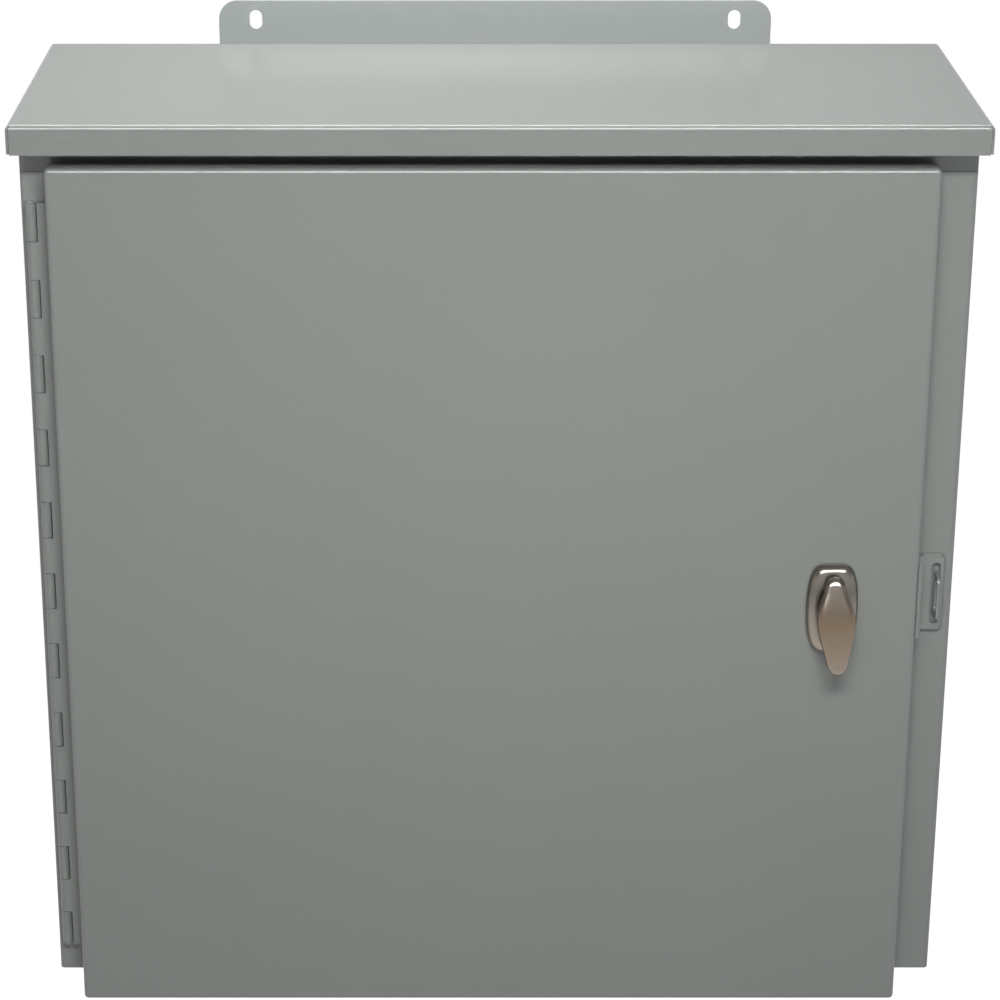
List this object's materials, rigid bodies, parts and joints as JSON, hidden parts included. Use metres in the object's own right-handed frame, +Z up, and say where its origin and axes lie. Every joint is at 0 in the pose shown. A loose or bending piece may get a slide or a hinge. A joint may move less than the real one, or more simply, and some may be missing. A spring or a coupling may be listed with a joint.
{
  "type": "weatherproof electrical cabinet",
  "caption": "Wall-hung rainproof steel cabinet with a drip hood, a door on a continuous hinge, a quarter-turn handle, a padlock hasp and slotted wall straps.",
  "frame": {"origin": "middle of the upper wall strap's rear face, at the height of its slots", "axes": "+Z up, +Y into the wall, -Y the way the door faces, +X to the latch side"},
  "size_m": [0.6156, 0.2613, 0.6754],
  "materials": {
    "cabinet_paint": "satin grey powder coat with a fine orange peel",
    "panel_enamel": "white enamel",
    "satin_nickel": "satin nickel plate on die-cast metal",
    "zinc_hardware": "bright zinc plate",
    "gasket_rubber": "matt black rubber"
  },
  "bodies": {
    "cabinet": {"body_wrapper": "cabinet_paint", "top_cap": "cabinet_paint", "bottom_cap": "cabinet_paint", "rain_hood": "cabinet_paint", "upper_wall_strap": "cabinet_paint", "lower_wall_strap": "cabinet_paint", "body_hinge_leaf": "cabinet_paint", "hinge_pin": "zinc_hardware", "padlock_staple": "cabinet_paint", "back_panel": "panel_enamel", "panel_studs": "zinc_hardware", "panel_washers": "zinc_hardware", "panel_nuts": "zinc_hardware", "ground_stud": "zinc_hardware", "ground_nut": "zinc_hardware"},
    "door": {"door_pan": "cabinet_paint", "door_hinge_leaf": "cabinet_paint", "hasp_plate": "cabinet_paint", "handle_gasket": "gasket_rubber", "handle_escutcheon": "satin_nickel", "escutcheon_screws": "zinc_hardware"},
    "handle": {"handle_lever": "satin_nickel", "shank_ring": "zinc_hardware", "latch_cam": "zinc_hardware", "cam_washer": "zinc_hardware", "cam_nut": "zinc_hardware"}
  },
  "joints": [
    {"name": "door_hinge", "type": "hinge", "parent": "cabinet", "child": "door", "pos_m": [-0.2979, -0.20905, -0.3397], "axis": [0, 0, -1], "range_deg": [0, 180]},
    {"name": "handle_turn", "type": "hinge", "parent": "door", "child": "handle", "pos_m": [0.2214, -0.2292, -0.3254], "axis": [0, 1, 0], "range_deg": [0, 90]}
  ]
}
